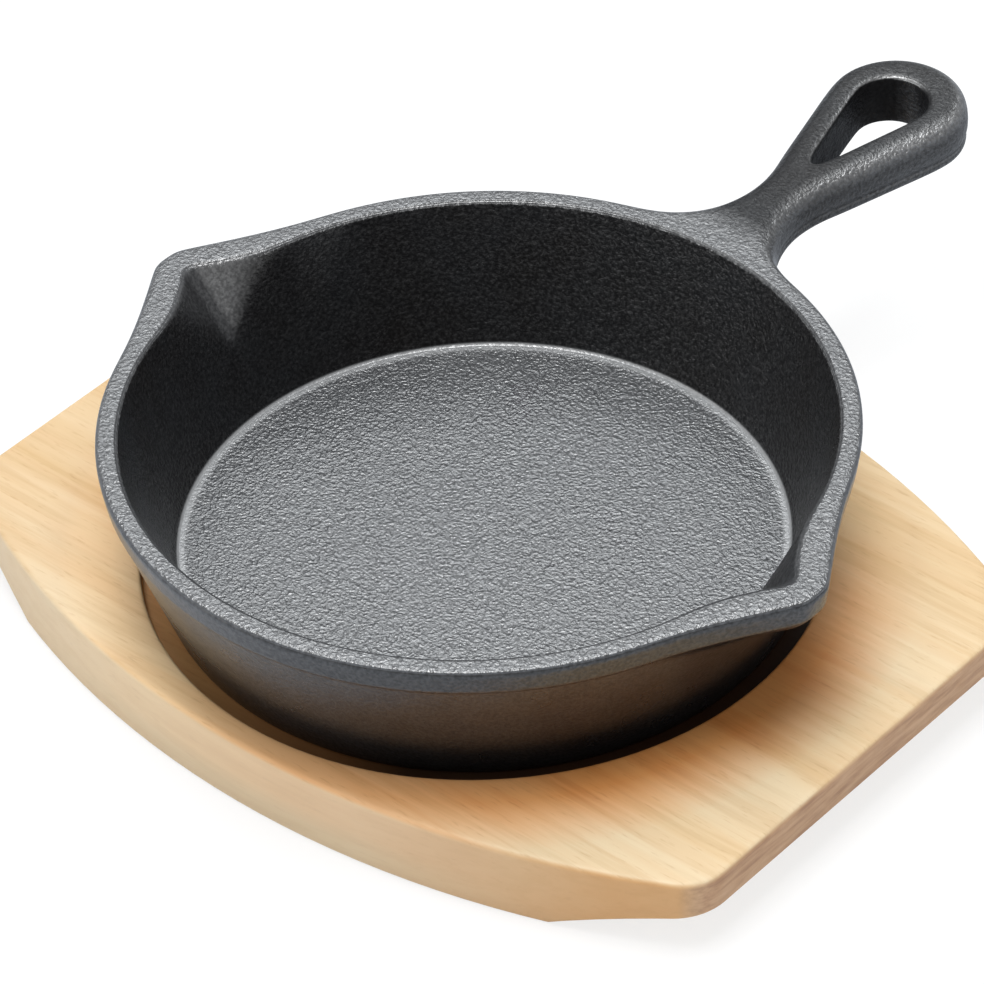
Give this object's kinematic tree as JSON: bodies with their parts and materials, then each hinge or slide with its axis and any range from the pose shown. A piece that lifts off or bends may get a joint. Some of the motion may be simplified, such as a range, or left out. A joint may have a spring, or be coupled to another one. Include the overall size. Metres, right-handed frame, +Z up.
{
  "type": "cast iron serving pan",
  "caption": "Small cast iron skillet with pour spouts and an eyed handle, resting in the round recess of a wooden serving board with finger scoops under its ends.",
  "frame": {"origin": "centre of the serving board's flat underside, below the middle of the skillet", "axes": "+Z up out of the bowl, +Y out along the skillet's handle, +X along the board's length through both pour spouts"},
  "size_m": [0.1924, 0.2226, 0.0504],
  "materials": {
    "pale_hardwood": "sanded and lightly oiled",
    "seasoned_iron": "pebbled sand casting with a satin black seasoning"
  },
  "bodies": {
    "board": {"serving_board": "pale_hardwood"},
    "pan": {"skillet": "seasoned_iron"}
  },
  "joints": [
    {"name": "pan_lift", "type": "slide", "parent": "board", "child": "pan", "axis": [0, 0, 1], "range_m": [0, 0.08]}
  ]
}
